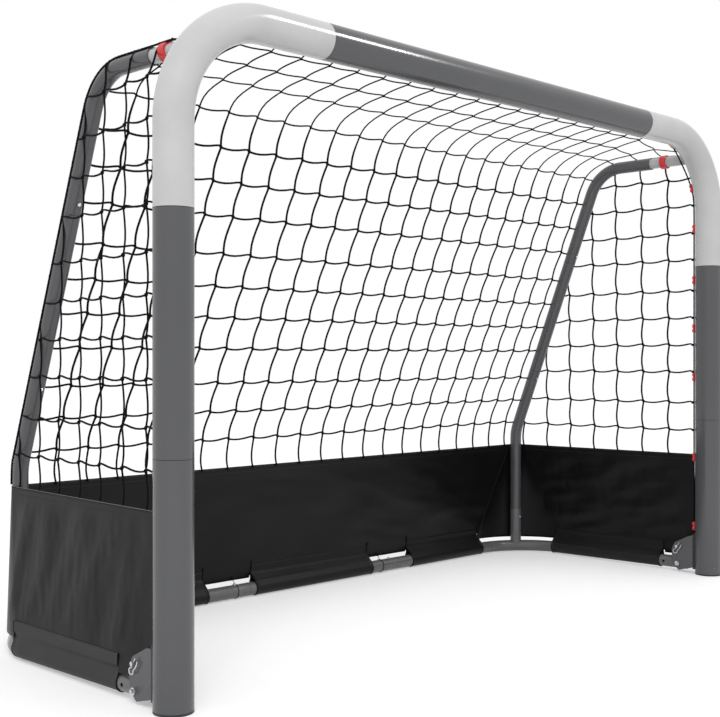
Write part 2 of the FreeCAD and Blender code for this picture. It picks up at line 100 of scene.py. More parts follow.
def spread(wire, low, high, least=0.0):  # a value between two limits, as a mask
    return wire.node("ShaderNodeMapRange", {"clamp": True},
                     {"Value": wire, "From Min": low, "From Max": high, "To Min": least})


def tinted(mask, first, second):  # one colour, turning to another where the mask is 1
    ends = {6: first, 7: second}
    ends = {key: value if isinstance(value, Wire) else (*value, 1) for key, value in ends.items()}
    return mask.node("ShaderNodeMix", {"data_type": "RGBA"}, {0: mask, **ends}, 2)


def grain(wire, scale, detail, rough=0.5):
    return wire.node("ShaderNodeTexNoise", {}, {
        "Vector": wire, "Scale": scale, "Detail": detail, "Roughness": rough})


def newMaterial(name, look):  # constants go straight to the shader's own sockets
    made = bpy.data.materials.new(name)
    made.use_nodes = True
    shader = made.node_tree.nodes["Principled BSDF"]
    for socket, value in look["shader"].items():
        shader.inputs[socket].default_value = value
    return made, Wire(made.node_tree), shader


def feed(shader, values):
    for name, wire in values.items():
        wire.tree.links.new(wire.socket, shader.inputs[name])


def bumped(height, strength, distance):
    return height.node("ShaderNodeBump", {}, {"Height": height, "Strength": strength, "Distance": distance})


def grey(level, blue=0.0):  # a neutral colour, or one that leans to blue
    return level, level, level + blue


wear = {"scuffEdges": (0.64, 0.76), "dustTop": 0.16, "dustEdges": (0.45, 0.7), "dustColour": (0.24, 0.23, 0.21)}


def coated(name, look):  # paint or moulded plastic: clouded colour, orange peel, scuffs, dust near the floor
    made, wire, shader = newMaterial(name, look)
    at = wire.node("ShaderNodeTexCoord", output="Object")
    clouds, peel = grain(at, look["cloudScale"], 4.0), grain(at, look["peelScale"], 2.0)
    scuffs = spread(grain(at, look["scuffScale"], 9.0, 0.72), *wear["scuffEdges"])
    height = at.node("ShaderNodeSeparateXYZ", {}, {0: at}, "Z")
    dust = spread(height, wear["dustTop"], 0.0) * spread(grain(at, 30.0, 6.0), *wear["dustEdges"])
    colour = tinted(spread(clouds, 0.35, 0.65), look["dark"], look["light"])
    colour = tinted(scuffs * look["scuffed"], colour, look["scuffColour"])
    colour = tinted(dust * look["dusty"], colour, wear["dustColour"])
    rough = look["rough"] + (clouds - 0.5) * 0.08 + scuffs * 0.12 + dust * 0.2
    feed(shader, {"Base Color": colour, "Roughness": rough,
                  "Normal": bumped(peel + scuffs * 0.6, look["peel"], 0.0002)})
    return made


steelCoat = {"shader": {"IOR": 1.5, "Specular IOR Level": 0.5}, "cloudScale": 6.0, "rough": 0.17,
             "peelScale": 620.0, "peel": 0.05}
greyPaint = coated("greyPaint", {
    **steelCoat, "cloudScale": 5.0, "scuffScale": 38.0, "dark": (0.085, 0.086, 0.092),
    "light": (0.089, 0.090, 0.096), "scuffed": 0.12, "scuffColour": grey(0.15, 0.005), "dusty": 0.07})
# a darker copy of the frame's grey paint for the arms: painted shade
tubePaint = coated("tubePaint", {
    **steelCoat, "scuffScale": 42.0, "rough": 0.19, "dark": (0.076, 0.077, 0.082),
    "light": (0.084, 0.085, 0.091), "scuffed": 0.22, "scuffColour": grey(0.13, 0.005), "dusty": 0.2})
# a lighter copy of the frame's grey paint for the floor tubes and rear bar: painted light, for their lit top faces
floorPaint = coated("floorPaint", {
    **steelCoat, "scuffScale": 46.0, "dark": (0.124, 0.125, 0.131),
    "light": (0.134, 0.135, 0.142), "scuffed": 0.22, "scuffColour": grey(0.16, 0.005), "dusty": 0.18})
whitePlastic = coated("whitePlastic", {
    "shader": {"IOR": 1.47}, "cloudScale": 9.0, "scuffScale": 55.0,
    "dark": grey(0.545), "light": grey(0.60), "scuffed": 0.2,
    "scuffColour": grey(0.38), "dusty": 0.0, "rough": 0.16, "peelScale": 480.0, "peel": 0.05})
paleGreyPaint = coated("paleGreyPaint", {
    "shader": {"IOR": 1.5}, "cloudScale": 12.0, "scuffScale": 70.0,
    "dark": grey(0.43, 0.01), "light": grey(0.50, 0.01), "scuffed": 0.35,
    "scuffColour": grey(0.3, 0.01), "dusty": 0.0, "rough": 0.22, "peelScale": 620.0, "peel": 0.06})
redPlastic = coated("redPlastic", {
    "shader": {"IOR": 1.47}, "cloudScale": 40.0, "scuffScale": 160.0,
    "dark": (0.62, 0.030, 0.034), "light": (0.74, 0.048, 0.050), "scuffed": 0.25,
    "scuffColour": (0.85, 0.22, 0.2), "dusty": 0.1, "rough": 0.32, "peelScale": 900.0, "peel": 0.08})
blackPlastic = coated("blackPlastic", {
    "shader": {"IOR": 1.47}, "cloudScale": 30.0, "scuffScale": 110.0,
    "dark": grey(0.012, 0.001), "light": grey(0.022, 0.001), "scuffed": 0.5,
    "scuffColour": grey(0.05, 0.002), "dusty": 0.06, "rough": 0.42, "peelScale": 700.0, "peel": 0.15})


def plated(name, look):  # zinc plate: fine turning marks and dull patches
    made, wire, shader = newMaterial(name, look)
    at = wire.node("ShaderNodeTexCoord", output="Object")
    marks = grain(at.node("ShaderNodeMapping", {}, {"Vector": at, "Scale": (1.0, 1.0, 9.0)}), 420.0, 5.0, 0.6)
    dull = spread(grain(at, 130.0, 5.0), 0.4, 0.72)
    rough = look["rough"] + dull * 0.2 + (marks - 0.5) * 0.12
    feed(shader, {"Base Color": tinted(dull, look["bright"], look["dull"]), "Roughness": rough,
                  "Normal": bumped(marks, 0.12, 0.0001)})
    return made


zinc = plated("zinc", {"shader": {"Metallic": 1.0}, "bright": grey(0.72, 0.02), "dull": grey(0.50, 0.02),
                       "rough": 0.24})


def woven(name, look):  # coated polyester: plain weave on the piece's own map, soft clouds, rubbed places, and painted shade on the faces marked inner
    made, wire, shader = newMaterial(name, look)
    lie = wire.node("ShaderNodeUVMap", {"uv_map": "cloth"})
    at = wire.node("ShaderNodeTexCoord", output="Object")
    bands = {"wave_type": "BANDS", "wave_profile": "SIN"}
    period = {"Vector": lie, "Scale": tau / 20 / look["thread"]}
    warp = wire.node("ShaderNodeTexWave", {**bands, "bands_direction": "X"}, period, 1)
    weft = wire.node("ShaderNodeTexWave", {**bands, "bands_direction": "Y"}, period, 1)
    weave = warp * weft + (1 - warp) * (1 - weft)
    clouds = spread(grain(at, 6.0, 5.0), 0.3, 0.7)
    rubbed = spread(grain(at, 24.0, 8.0, 0.66), 0.56, 0.74)
    colour = tinted(clouds, look["dark"], look["light"])
    colour = tinted(rubbed * 0.35, colour, look["rubbed"])
    colour = tinted(weave * 0.25, colour, look["raised"])
    # painted shade: faces marked inner, on the goal's inside, are tinted darker as if less light reached them
    inner = wire.node("ShaderNodeAttribute", {"attribute_name": "inner"}, output="Fac")
    colour = tinted(inner * 0.75, colour, look["inner"])
    feed(shader, {"Base Color": colour, "Roughness": look["rough"] + rubbed * 0.1 - weave * 0.05 - inner * 0.1,
                  "Normal": bumped(weave + grain(at, 90.0, 4.0) * 1.5, 0.35, 0.00025)})
    return made


# the inner colours below are painted shade for the goal's dimmer inside
blackCloth = woven("blackCloth", {
    "shader": {"IOR": 1.42, "Specular IOR Level": 0.2},
    "thread": 0.0011, "dark": grey(0.0065, 0.0005), "light": grey(0.0105, 0.0005),
    "rubbed": grey(0.016, 0.0005), "raised": grey(0.012, 0.0005), "inner": grey(0.0046),
    "rough": 0.42})
# a lighter copy of the black cloth for the side sleeves: painted light, for the sleeves' tops catching light from
# above
sleeveCloth = woven("sleeveCloth", {
    "shader": {"IOR": 1.42, "Specular IOR Level": 0.14},
    "thread": 0.0011, "dark": grey(0.039, 0.0005), "light": grey(0.053, 0.0005),
    "rubbed": grey(0.068, 0.0005), "raised": grey(0.057, 0.0005), "inner": grey(0.003),
    "rough": 0.5})


def braided(name, look):  # twine: slanting strands from the along and around values that its tree stores
    made, wire, shader = newMaterial(name, look)
    along = wire.node("ShaderNodeAttribute", {"attribute_name": "along"}, output="Fac")
    around = wire.node("ShaderNodeAttribute", {"attribute_name": "around"}, output="Fac")
    turns = (along / look["lay"] + around * look["strands"]) * tau
    ridge = wire.node("ShaderNodeMath", {"operation": "SINE"}, {0: turns}) * 0.5 + 0.5
    at = wire.node("ShaderNodeTexCoord", output="Object")
    fuzz = grain(at, 900.0, 4.0)
    feed(shader, {"Base Color": tinted(ridge * 0.7 + fuzz * 0.3, look["deep"], look["high"]),
                  "Roughness": 0.75 - ridge * 0.1, "Normal": bumped(ridge + fuzz * 0.5, 0.5, 0.0004)})
    return made


netTwine = braided("netTwine", {
    "shader": {"Specular IOR Level": 0.08}, "lay": 0.007, "strands": 3,
    "deep": grey(0.002), "high": grey(0.008)})
stitchThread = braided("stitchThread", {
    "shader": {"Specular IOR Level": 0.3}, "lay": 0.0012, "strands": 2,
    "deep": grey(0.03, 0.001), "high": grey(0.075, 0.002)})
# pale twine for the hem's cut edge: a painted highlight along the hem
hemThread = braided("hemThread", {
    "shader": {"Specular IOR Level": 0.3}, "lay": 0.004, "strands": 2,
    "deep": grey(0.16), "high": grey(0.26)})

finishes = {
    "post_": greyPaint, "crossbar_": greyPaint, "base_": floorPaint, "rear_bar": floorPaint, "arm_": tubePaint,
    "hinge_bracket": greyPaint, "corner_bend": whitePlastic, "top_spigot": paleGreyPaint,
    "spigot_ring": redPlastic, "net_clips": redPlastic, "foot_cap": blackPlastic, "hinge_pad": blackPlastic,
    "button_": zinc, "pivot_bolt": zinc, "lock_pin": zinc, "lock_clip": zinc, "bracket_rivets": zinc,
    "skirt_": blackCloth, "net_": netTwine}
for name, carried in nodes.items():
    found = next(finishes[start] for start in finishes if name.startswith(start))
    carried.data.materials.clear()
    carried.data.materials.append(found)
print("carried-over nodes painted:", len(nodes))


def newPiece(name, points, faces, edges=()):
    mesh = bpy.data.meshes.new(name)
    mesh.from_pydata([tuple(p) for p in points], list(edges), faces)
    mesh.update()
    made = bpy.data.objects.new(name, mesh)
    scene.collection.objects.link(made)
    return made


def settle(piece):  # what the modifiers make becomes the piece's own mesh, and they go
    bpy.context.view_layer.update()
    seen = bpy.context.evaluated_depsgraph_get()
    shaped = bpy.data.meshes.new_from_object(piece.evaluated_get(seen), preserve_all_data_layers=True,
                                             depsgraph=seen)
    piece.modifiers.clear()
    old, piece.data = piece.data, shaped
    bpy.data.meshes.remove(old)
    shaped.name = piece.name
    return piece


def newTree(name, inputs):  # its sizes are named inputs, and the finish comes last
    tree = bpy.data.node_groups.new(name, "GeometryNodeTree")
    tree.interface.new_socket("Geometry", in_out="OUTPUT", socket_type="NodeSocketGeometry")
    for label, kind in {"Geometry": "Geometry", **inputs, "Finish": "Material"}.items():
        tree.interface.new_socket(label, in_out="INPUT", socket_type="NodeSocket" + kind)
    entry = tree.nodes.new("NodeGroupInput")
    return Wire(tree), {socket.name: Wire(tree, socket) for socket in entry.outputs if socket.name}


def closeTree(wire, grown, given):  # every tree ends in Realize Instances and Set Material
    real = wire.node("GeometryNodeRealizeInstances", {}, {"Geometry": grown})
    smooth = wire.node("GeometryNodeSetShadeSmooth", {}, {"Geometry": real})
    done = wire.node("GeometryNodeSetMaterial", {}, {"Geometry": smooth, "Material": given["Finish"]})
    wire.node("NodeGroupOutput", {}, {"Geometry": done})
    return wire.tree


def grow(piece, tree, values):  # the tree's sizes are set by identifier, then its result is kept
    added = piece.modifiers.new(tree.name, "NODES")
    added.node_group = tree
    labels = {item.name: item.identifier for item in tree.interface.items_tree if item.in_out == "INPUT"}
    for name, value in values.items():
        added[labels[name]] = value
    return settle(piece)


def stored(wire, line, name, parameter):  # a spline's length or factor, kept for the material to read
    value = wire.node("GeometryNodeSplineParameter", output=parameter)
    return wire.node("GeometryNodeStoreNamedAttribute", {"data_type": "FLOAT", "domain": "POINT"},
                     {"Geometry": line, "Name": name, "Value": value})


def named(wire, name, kind="FLOAT"):
    return wire.node("GeometryNodeInputNamedAttribute", {"data_type": kind}, {"Name": name})


def evenLine(wire, given):  # the mesh's edges as curves, cut at the step
    line = wire.node("GeometryNodeMeshToCurve", {}, {"Mesh": given["Geometry"]})
    return wire.node("GeometryNodeResampleCurve", {"mode": "LENGTH"}, {"Curve": line, "Length": given["Step"]})


def twineTree():  # a tube along every edge, and a knot where the mesh says so
    wire, given = newTree("twineTree", {"Cord radius": "Float", "Sides": "Int", "Knot size": "Float", "Seed": "Int"})
    lines = wire.node("GeometryNodeMeshToCurve", {}, {"Mesh": given["Geometry"]})
    ring = wire.node("GeometryNodeCurvePrimitiveCircle", {}, {
        "Resolution": given["Sides"], "Radius": given["Cord radius"]})
    stout, marked = named(wire, "stout"), named(wire, "knot")
    tubes = wire.node("GeometryNodeCurveToMesh", {}, {
        "Curve": stored(wire, lines, "along", "Length"), "Profile Curve": stored(wire, ring, "around", "Factor"),
        "Fill Caps": True, "Scale": stout})
    ball = wire.node("GeometryNodeMeshUVSphere", {}, {"Segments": 8, "Rings": 5, "Radius": 1.0})
    turn = wire.node("FunctionNodeRandomValue", {"data_type": "FLOAT_VECTOR"},
                     {0: (-0.6, -0.6, -3.1), 1: (0.6, 0.6, 3.1), "Seed": given["Seed"]})
    across = given["Knot size"] * marked * stout
    size = wire.node("ShaderNodeCombineXYZ", {}, {0: across * 1.15, 1: across, 2: across * 1.3})
    tied = wire.node("FunctionNodeCompare", {"data_type": "FLOAT", "operation": "GREATER_THAN"}, {0: marked, 1: 0.1})
    knots = wire.node("GeometryNodeInstanceOnPoints", {}, {
        "Points": given["Geometry"], "Selection": tied, "Instance": ball, "Rotation": turn, "Scale": size})
    joined = wire.node("GeometryNodeJoinGeometry", {}, {"Geometry": tubes})
    wire.tree.links.new(knots.socket, joined.socket.node.inputs["Geometry"])
    return closeTree(wire, joined, given)


def ropeTree():  # a laid rope: a lobed section that turns as it goes
    wire, given = newTree("ropeTree", {"Rope radius": "Float", "Lay": "Float", "Step": "Float"})
    line = stored(wire, evenLine(wire, given), "along", "Length")
    length = wire.node("GeometryNodeSplineParameter", output="Length")
    line = wire.node("GeometryNodeSetCurveTilt", {}, {"Curve": line, "Tilt": length / given["Lay"] * tau})
    star = wire.node("GeometryNodeCurveStar", {}, {
        "Points": 3, "Inner Radius": given["Rope radius"] * 0.72, "Outer Radius": given["Rope radius"], "Twist": 0.0})
    rope = wire.node("GeometryNodeCurveToMesh", {}, {
        "Curve": line, "Profile Curve": stored(wire, star, "around", "Factor"), "Fill Caps": True})
    return closeTree(wire, rope, given)


def rowTree():  # a small shape set out along lines at a fixed step, such as stitches
    wire, given = newTree("rowTree", {"Step": "Float", "Length": "Float", "Width": "Float", "Seed": "Int"})
    ball = wire.node("GeometryNodeMeshUVSphere", {}, {"Segments": 6, "Rings": 4, "Radius": 1.0})
    way = wire.node("FunctionNodeAlignEulerToVector", {"axis": "Z"},
                    {"Vector": wire.node("GeometryNodeInputTangent")})
    wobble = wire.node("FunctionNodeRandomValue", {"data_type": "FLOAT"},
                       {2: 0.88, 3: 1.12, "Seed": given["Seed"]}, 1)
    size = wire.node("ShaderNodeCombineXYZ", {}, {
        0: given["Width"], 1: given["Width"], 2: given["Length"] * wobble})
    stitches = wire.node("GeometryNodeInstanceOnPoints", {}, {
        "Points": evenLine(wire, given), "Instance": ball, "Rotation": way, "Scale": size})
    return closeTree(wire, stitches, given)


twine, laidRope, stitchRow = twineTree(), ropeTree(), rowTree()


def soft(value, low, high):  # 0 to 1, eased
    share = min(max((value - low) / (high - low), 0), 1)
    return share * share * (3 - 2 * share)


def between(first, last, share):
    return first + (last - first) * share


def sought(low, high, steps, before):  # halves the range round the place that the test turns at
    for step in range(steps):
        middle = (low + high) / 2
        low, high = (middle, high) if before(middle) else (low, middle)
    return low


def stamp(piece, name, kind, domain, values):  # values on the mesh, for a tree or a material to read
    marks = piece.data.attributes.new(name, kind, domain)
    marks.data.foreach_set("vector" if kind == "FLOAT_VECTOR" else "value", values)


def hungBetween(piece, far, near, height):  # the piece's place goes into its mesh; the frame names and the places from far, near and height are not used
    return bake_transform(piece, "rear_frame", "front_frame", start=place(0, far, height), end=place(0, near, height))


def lineMesh(name, runs):  # open lines of points, as a mesh of edges
    points, edges = [], []
    for run in runs:
        edges += [(len(points) + k, len(points) + k + 1) for k in range(len(run) - 1)]
        points += run
    return newPiece(name, points, [], edges)


def smoothRun(points):  # the smooth line that a few points steer
    data = bpy.data.curves.new("steer", "CURVE")
    data.dimensions, data.resolution_u = "3D", 16
    spline = data.splines.new("NURBS")
    spline.points.add(len(points) - 1)
    for point, spot in zip(spline.points, points):
        point.co = (*spot, 1)
    spline.order_u, spline.use_endpoint_u = 3, True
    holder = bpy.data.objects.new("steer", data)
    scene.collection.objects.link(holder)
    bpy.context.view_layer.update()
    line = bpy.data.meshes.new_from_object(holder.evaluated_get(bpy.context.evaluated_depsgraph_get()))
    run = [vertex.co.copy() for vertex in line.vertices]
    bpy.data.objects.remove(holder)
    bpy.data.meshes.remove(line)
    return run


def laidPiece(name, runs, cord, finish=netTwine):  # a rope or cord along each run
    piece = lineMesh(name, runs)
    grow(piece, laidRope, {"Rope radius": cord["radius"], "Lay": cord["lay"], "Step": cord["step"], "Finish": finish})
    return piece


# The net: places of the knots in millimetres. Rows go down the back from the crossbar, columns from right to left.
net = {
    "twine": {"netBack": 0.00255, "netLeft": 0.00212, "netRight": 0.0026}, "sides": 6, "slim": 0.36,
    "slimHeights": (1120, 1215), "knot": 0.0036, "ropeKnot": 0.9, "footKnot": 0.7, "endKnot": 0.62,
    "rows": ((122, 1252), (200, 1238), (279, 1221), (360, 1175), (389, 1101), (417, 1029), (446, 955),
             (479.6, 871), (508.4, 797), (537.1, 723.7), (566.3, 649.5), (599.4, 565.2), (627.9, 492.6),
             (656.4, 420.2)),
    "columns": (858, 778, 699, 619.5, 537.5, 455.4, 373.2, 291, 208.7, 126.3, 44, -38.3, -120.7, -203, -285.8,
                -368.6, -451.5, -534.2, -616.9, -699.6, -782.3, -865),
    "topRows": 3, "innerTo": 830, "lean": 10, "leanFrom": 5, "leanRows": 8, "shoulder": (1.2, 0.0045),
    "hung": (300, 47, 900), "sideRows": (1149, 1071, 990, 913, 823, 744, 665, 586.5, 497, 417),
    "sideColumns": (114, 198, 283, 364, 449, 533.5, 624), "sideFront": (935, 47), "sideTop": 1170,
    "slopeFrom": 254, "slopeRange": (347, 1216), "pastTube": 300, "clear": 12,
    "rowDip": ((0.1, -0.018), (0.24, -0.032), (0.42, -0.032), (0.62, -0.008), (0.8, 0.028), (0.92, 0.044)),
    "columnBow": ((0.12, 0.022), (0.3, 0.052), (0.5, 0.074), (0.68, 0.074), (0.84, 0.05), (0.95, 0.02)),
    "ropeHeight": 1243, "bendSpot": (846, 1217), "ropeBehind": 42, "riseOver": ((56, 1262), (92, 1263)),
    "panelEdge": 800, "footBehind": 663.2, "foot": 343}
arm = {"x": 888, "radius": 17.5, "top": 1199.09, "corner": 329, "topBend": 110, "foot": 647.11, "lowCorner": 389,
       "slope": (0.3655, 0.9308)}
border = {"gap": 19.4, "radius": 0.0025, "lay": 0.011, "step": 0.0022, "levelTurn": radians(60),
          "slopeTurn": radians(33), "start": ((6, 46, -14), (2, 58, -3), (0, 80, 0), (0, 180, 0), (0, 232, 0)),
          "heights": (1090, 900, 700, 500, 420), "feet": (392, 350)}
levelX = arm["x"] + border["gap"] * cos(border["levelTurn"])  # the edge cord over the arm's level part
levelZ = arm["top"] + border["gap"] * sin(border["levelTurn"])


def borderAt(height):  # the edge cord's place beside the arm, at a height on its slope
    out, lift = border["gap"] * cos(border["slopeTurn"]), border["gap"] * sin(border["slopeTurn"])
    y = arm["corner"] + (arm["top"] - height) * arm["slope"][0] / arm["slope"][1]
    y += lift * arm["slope"][1] + lift * arm["slope"][0] ** 2 / arm["slope"][1]
    return arm["x"] + out, min(y, arm["foot"] + lift)


def borderRun(side):  # from the bend's back along the arm's top, round its bend and down to the skirt
    gap, bend = border["gap"], arm["topBend"]
    spots = [(levelX + out, y, levelZ + lift) for out, y, lift in border["start"]]
    fall = acos(arm["slope"][0])
    for k in range(9):  # round the outside of the arm's bend
        turn, angle = border["levelTurn"] + (border["slopeTurn"] - border["levelTurn"]) * k / 8, fall * k / 8
        out = bend + gap * sin(turn)
        spots.append((arm["x"] + gap * cos(turn),
                      arm["corner"] - bend * tan(fall / 2) + out * sin(angle),
                      arm["top"] - bend + out * cos(angle)))
    spots += [(*borderAt(height), height) for height in border["heights"]]
    behind = arm["foot"] + gap * sin(border["slopeTurn"])
    spots += [(borderAt(400)[0], behind, height) for height in border["feet"]]
    return smoothRun([place(side * sx, sy, sz) for sx, sy, sz in spots])


borders = {side: borderRun(side) for side in (-1, 1)}


def onBorder(side, spot):  # the edge cord's nearest place
    return min(borders[side], key=lambda at: (at - spot).length_squared)


def addStrand(sheet, stops, offsets, aside, bulge=None):  # a strand through its knots, bowed between them
    points, edges = sheet["points"], sheet["edges"]
    for first, last in zip(stops, stops[1:]):
        a, b = points[first], points[last]
        previous = first
        for share, amount in offsets:
            spot = a.lerp(b, share) + aside * (amount * (b - a).length)
            if bulge:
                spot += bulge(a, b, share)
            points.append(spot)
            edges.append((previous, len(points) - 1))
            previous = len(points) - 1
        edges.append((previous, last))


def addKnot(sheet, spot, size=1.0):
    sheet["points"].append(spot)
    sheet["knots"][len(sheet["points"]) - 1] = size
    return len(sheet["points"]) - 1


def topDrop(x, z):  # the top panel comes down to the arms near its sides
    share = min(max((abs(x) - net["panelEdge"]) / (levelX - net["panelEdge"]), 0), 1)
    return z + (levelZ - z) * share ** 1.4 if z > levelZ else z


def backNet():
    sheet, grid = {"points": [], "edges": [], "knots": {}}, {}
    rows, columns, (bendX, bendZ) = net["rows"], net["columns"], net["bendSpot"]
    for r, (y, z) in enumerate(rows):
        lean = net["lean"] * min(max((r - net["leanFrom"]) / net["leanRows"], 0), 1)
        for c, x in enumerate(columns):
            grid[r, c] = addKnot(sheet, place(x - lean, y, topDrop(x, z)))
        edge = (levelX, y, topDrop(900, z)) if r < net["topRows"] else (*borderAt(z), z)
        for side, c in ((-1, len(columns)), (1, -1)):  # the row's left and right ends
            grid[r, c] = addKnot(sheet, onBorder(side, place(side * edge[0], *edge[1:])), net["endKnot"])
    for r in range(len(rows)):
        above, below = rows[max(r - 1, 0)], rows[min(r + 1, len(rows) - 1)]
        upward = Vector((0, above[0] - below[0], above[1] - below[1])).normalized()
        stops = [grid[r, c] for c in range(len(columns), -2, -1)]
        addStrand(sheet, stops, net["rowDip"], upward)
    leftward = Vector((-1, 0, 0))
    level, out = net["shoulder"]
    outward = Vector((0, 0.5, 0.87)) * out

    def shoulder(a, b, share):  # the spans that go over the arms' bends
        return outward * sin(pi * share) if a.z > level > b.z else Vector()

    for c, x in enumerate(columns):
        inner = abs(x) < net["innerTo"]
        startX, startZ = (x, net["ropeHeight"]) if inner else (copysign(bendX, x), bendZ)
        start = addKnot(sheet, place(startX, net["ropeBehind"], startZ), net["ropeKnot"])
        end = addKnot(sheet, place(x - net["lean"] + 3, net["footBehind"], net["foot"]), net["footKnot"])
        stops = [start]
        if inner:  # up off the rope, and over to the first row
            stops += [addKnot(sheet, place(x, y, z), 0) for y, z in net["riseOver"]]
        stops += [grid[r, c] for r in range(len(rows))] + [end]
        addStrand(sheet, stops, net["columnBow"], leftward, shoulder)
    return sheet


def sideNet(side):
    sheet, grid = {"points": [], "edges": [], "knots": {}}, {}
    columns, (frontX, frontY) = net["sideColumns"], net["sideFront"]

    def surface(y, z):
        edgeX, edgeY = borderAt(min(z, net["sideTop"]))
        return frontX + (edgeX - frontX) * min((y - frontY) / (edgeY - frontY), 1)

    for r, z in enumerate(net["sideRows"]):
        edgeX, edgeY = borderAt(z)
        for c, y in enumerate(columns):
            if y < edgeY - net["clear"]:
                grid[r, c] = addKnot(sheet, place(side * surface(y, z), y, z))
        front = addKnot(sheet, place(side * (frontX + 2.5), net["ropeBehind"], z), net["ropeKnot"])
        rear = addKnot(sheet, onBorder(side, place(side * edgeX, edgeY, z)), net["endKnot"])
        stops = [front] + [grid[r, c] for c in range(len(columns)) if (r, c) in grid] + [rear]
        stops = stops if side < 0 else stops[::-1]
        addStrand(sheet, stops, net["rowDip"], Vector((0, 0, 1)))
    leftward = Vector((0, side, 0))  # as seen from inside the goal
    for c, y in enumerate(columns):
        x, z = levelX, levelZ
        if y > net["slopeFrom"]:  # where the edge cord on the arm's slope stands over this place
            x, z = borderAt(1100)[0], sought(*net["slopeRange"], 30, lambda height: borderAt(height)[1] > y)
        stops = [addKnot(sheet, onBorder(side, place(side * x, y, z)), net["endKnot"])]
        if y < net["pastTube"]:  # down past the arm's tube
            stops.append(addKnot(sheet, place(side * (arm["x"] + border["gap"]), y, min(arm["top"], z - 16)), 0))
        stops += [grid[r, c] for r in range(len(net["sideRows"])) if (r, c) in grid]
        footX = frontX + (arm["x"] + arm["radius"] - 1.8 - frontX) * (y - frontY) / (arm["foot"] - frontY)
        stops.append(addKnot(sheet, place(side * (footX - 1.5), y, net["foot"]), net["footKnot"]))
        addStrand(sheet, stops, net["columnBow"], leftward)
    return sheet


def netPiece(name, sheet, slim=0.0):
    piece = newPiece(name, sheet["points"], [], sheet["edges"])
    stamp(piece, "knot", "FLOAT", "POINT", [sheet["knots"].get(k, 0.0) for k in range(len(sheet["points"]))])
    stamp(piece, "stout", "FLOAT", "POINT",
          [1 - slim * soft(spot.z * 1000, *net["slimHeights"]) for spot in sheet["points"]])
    grow(piece, twine, {"Cord radius": net["twine"][name], "Sides": net["sides"], "Knot size": net["knot"],
                        "Seed": 7, "Finish": netTwine})
    return hungBetween(piece, *net["hung"])


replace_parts(netPiece("netBack", backNet(), net["slim"]), "net_back")
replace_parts(netPiece("netLeft", sideNet(-1)), "net_side_left")
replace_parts(netPiece("netRight", sideNet(1)), "net_side_right")
print("net strands done")

for side, word in sides:
    edging = laidPiece(f"netBorder{word}", [borders[side]], border)
    hungBetween(edging, *net["hung"])

rope = {"radius": 0.0025, "lay": 0.014, "step": 0.0026, "x": 941, "y": 39.2, "levels": (120, 600, 1000, 1062),
        "corners": ((938, 1097.4), (915.3, 1140.1), (835.1, 1220.3), (792.4, 1243), (745, 1243), (400, 1243))}


def ropeRun():  # up the left post's back, along under the crossbar and down the right post's
    half = [(rope["x"], level) for level in rope["levels"]] + list(rope["corners"])
    spots = half + [(-x, z) for x, z in reversed(half)]
    return smoothRun([place(x, rope["y"], z) for x, z in spots])


netRope = laidPiece("netRope", [ropeRun()], rope)
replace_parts(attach(netRope, "front_frame"), "net_rope")
print("ropes done")

# Red net clips: a waisted body with two lobes round the rope, and a flat against the tube
clip = {"radius": 5.6, "waist": 3.0, "height": 25.0, "segments": 14, "flat": 0.0051, "turn": 19,
        "levels": (137, 338, 571, 713, 854, 1003), "onBend": ((926.3, 1119.5), (814.5, 1231.3)),
        "bendMiddle": (744, 1049)}


def clipShape():
    build = bmesh.new()
    profile = []
    for k in range(13):
        share = k / 12
        lobe = abs(sin(tau * share)) ** 0.6
        profile.append((clip["waist"] + (clip["radius"] - clip["waist"]) * lobe, (share - 0.5) * clip["height"]))
    profile = [(0, profile[0][1])] + profile + [(0, profile[-1][1])]
    line = [build.verts.new((r / 1000, 0, z / 1000)) for r, z in profile]
    edges = [build.edges.new(pair) for pair in zip(line, line[1:])]
    bmesh.ops.spin(build, geom=line + edges, axis=(0, 0, 1), cent=(0, 0, 0), steps=clip["segments"],
                   angle=tau, use_merge=True)
    bmesh.ops.remove_doubles(build, verts=build.verts, dist=1e-6)
    for vertex in build.verts:  # flat where it lies against the tube
        vertex.co.y = max(vertex.co.y, -clip["flat"])
    bmesh.ops.recalc_face_normals(build, faces=build.faces)
    mesh = bpy.data.meshes.new("clipShape")
    build.to_mesh(mesh)
    build.free()
    return mesh


def clipTree():  # the clip's own shape, set at each place and turned along the rope
    wire, given = newTree("clipTree", {"Shape": "Object"})
    shape = wire.node("GeometryNodeObjectInfo", {"transform_space": "ORIGINAL"}, {"Object": given["Shape"]},
                      "Geometry")
    placed = wire.node("GeometryNodeInstanceOnPoints", {}, {
        "Points": given["Geometry"], "Instance": shape, "Rotation": named(wire, "turn", "FLOAT_VECTOR")})
    return closeTree(wire, placed, given)


spots, turns = [], []
for side in (-1, 1):
    for level in clip["levels"]:
        spots.append(place(side * rope["x"], rope["y"], level))
        turns += [0, 0, side * radians(clip["turn"])]
    for x, z in clip["onBend"]:
        spots.append(place(side * x, rope["y"], z))
        lean = atan2(x - clip["bendMiddle"][0], z - clip["bendMiddle"][1])
        turns += [0, side * (lean - pi / 2), 0]
shapeHolder = bpy.data.objects.new("clipShape", clipShape())
netClips = newPiece("netClips", spots, [])
stamp(netClips, "turn", "FLOAT_VECTOR", "POINT", turns)
grow(netClips, clipTree(), {"Shape": shapeHolder, "Finish": redPlastic})
bpy.data.objects.remove(shapeHolder)
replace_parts(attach(netClips, "front_frame"), "net_clips")
print("clips done")

